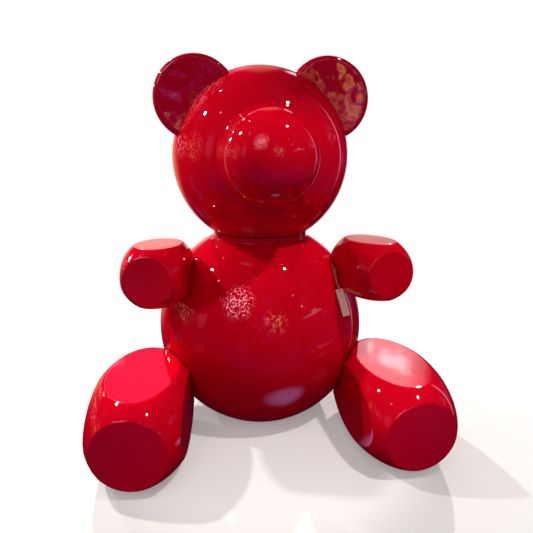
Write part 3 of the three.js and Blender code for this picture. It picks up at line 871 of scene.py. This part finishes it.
# Small far lamps that the lacquer mirrors: azimuth, elevation and strength.
FAR_LAMPS = [
    (-154, 34, 90),
    (-132, 19, 90),
    (-133, 52, 45),
    (-141, 23, 50),
    (-81, 47, 12),
    (47, 27, 9),
    (42, 40, 7),
]
PANEL_FULL = 0.5  # where a panel has its full strength, in units of its half widths
PATTERN_RANGE = (0.50, 0.66)  # of the noise that breaks up a panel, from dark to lit
FAR_LAMP_SIZE = 0.9  # half width in degrees
FAR_LAMP_COLOUR = (1.0, 0.92, 0.86)
# The dark room between them, by the value of a noise.
CLUTTER = [
    (0.42, (0.02, 0.0, 0.004)),
    (0.58, (0.10, 0.012, 0.08)),
    (0.68, (0.35, 0.07, 0.30)),
]
FILL_COLOUR = (1.0, 0.97, 0.96, 1)
FILL_LOW, FILL_HIGH = 0.10, 0.37  # strength of the soft light from straight below, and from high up
FILL_TOP = 0.5  # the Z of a unit vector where it reaches its high strength


def towards(azimuth, elevation):
    """Unit vector: azimuth in degrees from the front, -Y, round to the bear's left, +X."""
    turn, rise = math.radians(azimuth), math.radians(elevation)
    return Vector((math.cos(rise) * math.sin(turn), -math.cos(rise) * math.cos(turn), math.sin(rise)))


def lit_panel(tree, way, total, azimuth, elevation, width, height, colour, strength, grain):
    """Adds a soft oval of light around a direction, broken up by a pattern if it has one."""
    local = oval_space(
        tree,
        way,
        Location=towards(azimuth, elevation),
        Rotation=(math.radians(-elevation), 0, math.radians(azimuth)),
        Scale=[math.radians(size) for size in (width, max(width, height), height)],
    )
    amount = smooth_step(tree, distance(tree, local), OVAL_END, PANEL_FULL, 0.0, strength)
    if grain:
        pattern = add(tree, "ShaderNodeTexNoise", Vector=way, Scale=grain, Detail=2.0, Distortion=0.6)
        bits = smooth_step(tree, pattern.outputs[0], *PATTERN_RANGE, 0.0, 1.0)
        amount = add(tree, "ShaderNodeMath", {"operation": "MULTIPLY"}, _0=amount, _1=bits).outputs[0]
    glow = add(tree, "ShaderNodeVectorMath", {"operation": "SCALE"}, _0=colour, Scale=amount).outputs[0]
    return add(tree, "ShaderNodeVectorMath", {"operation": "ADD"}, _0=total, _1=glow).outputs[0]


def add_room():
    """White to the camera, soft light on the shapes, and a dim warm room in the lacquer's mirror."""
    world = bpy.data.worlds.new("room")
    world.use_nodes = True
    bpy.context.scene.world = world
    tree = world.node_tree
    tree.nodes.clear()
    way = add(tree, "ShaderNodeTexCoord").outputs["Generated"]
    clutter = add(tree, "ShaderNodeTexNoise", Vector=way, Scale=2.6, Detail=7.0, Roughness=0.62)
    total = ramp(tree, clutter.outputs[0], CLUTTER)
    for panel in PANELS:
        total = lit_panel(tree, way, total, *panel)
    for azimuth, elevation, strength in FAR_LAMPS:
        size = (FAR_LAMP_SIZE, FAR_LAMP_SIZE)
        total = lit_panel(tree, way, total, azimuth, elevation, *size, FAR_LAMP_COLOUR, strength, 0)
    height = add(tree, "ShaderNodeSeparateXYZ", Vector=way).outputs["Z"]
    sky = add(tree, "ShaderNodeMapRange", _0=height, _1=-1.0, _2=FILL_TOP, _3=FILL_LOW, _4=FILL_HIGH)
    ray = add(tree, "ShaderNodeLightPath")
    fill = add(tree, "ShaderNodeBackground", Color=FILL_COLOUR, Strength=sky.outputs[0])
    mirror = add(tree, "ShaderNodeBackground", Color=total, Strength=1.0)
    white = add(tree, "ShaderNodeBackground", Color=(1, 1, 1, 1), Strength=1.0)
    unseen = mix(tree, ray.outputs["Is Glossy Ray"], fill, mirror)
    whole = mix(tree, ray.outputs["Is Camera Ray"], unseen, white)
    add(tree, "ShaderNodeOutputWorld", Surface=whole.outputs[0])


# ---- lamps ----
# From the middle of the body: place, power in watts, radius and colour.
LAMPS = {
    "spot_left": ((-1.548, 0.265, 1.688), 110, 0.05, (1.0, 0.93, 0.86)),
    "spot_front": ((0.88, -1.17, 2.40), 128, 0.06, (1.0, 0.95, 0.90)),
    "glint_front": ((1.10, -0.63, 2.774), 120, 0.05, (1.0, 0.95, 0.90)),
    "spot_back": ((-1.32, 2.65, 2.47), 380, 0.07, (1.0, 0.93, 0.88)),
    "spot_far_left": ((-2.65, 2.19, 1.55), 125, 0.05, (1.0, 0.90, 0.82)),
    "spot_far_right": ((1.85, 2.70, 2.10), 400, 0.05, (1.0, 0.88, 0.80)),
}
# spot_front lights the lower half of the figure. In its place the lacquer mirrors glint_front, which
# lights nothing.
FRONT_AIM = (0.0, -0.20, -0.15)
FRONT_CONE = math.radians(19)
FRONT_BLEND = 0.5
SOFTBOX_PLACE = (-0.6, -2.4, 2.2)
SOFTBOX_POWER = 15
SOFTBOX_WIDTH = 2.2


def aim(lamp, place):
    """Turns the lamp towards a place given from the middle of the body."""
    lamp.rotation_euler = (BODY + Vector(place) - lamp.location).to_track_quat("-Z", "Y").to_euler()


def add_lamps():
    for name, (place, power, radius, colour) in LAMPS.items():
        focused = name == "spot_front"
        data = bpy.data.lights.new(name, "SPOT" if focused else "POINT")
        data.energy = power
        data.shadow_soft_size = radius
        data.color = colour
        lamp = link(name, data)
        lamp.location = BODY + Vector(place)
        if focused:
            data.spot_size = FRONT_CONE
            data.spot_blend = FRONT_BLEND
            aim(lamp, FRONT_AIM)
        lamp.visible_glossy = not focused
        lamp.visible_diffuse = name != "glint_front"


def add_softbox():
    """A wide soft light high in front, which the lacquer doesn't mirror."""
    data = bpy.data.lights.new("softbox", "AREA")
    data.energy = SOFTBOX_POWER
    data.shape = "DISK"
    data.size = SOFTBOX_WIDTH
    lamp = link("softbox", data)
    lamp.location = BODY + Vector(SOFTBOX_PLACE)
    aim(lamp, (0, 0, 0))
    lamp.visible_glossy = False


add_floor()
add_mirrored_floor()
add_room()
add_lamps()
add_softbox()
bpy.context.scene.view_settings.view_transform = "Standard"
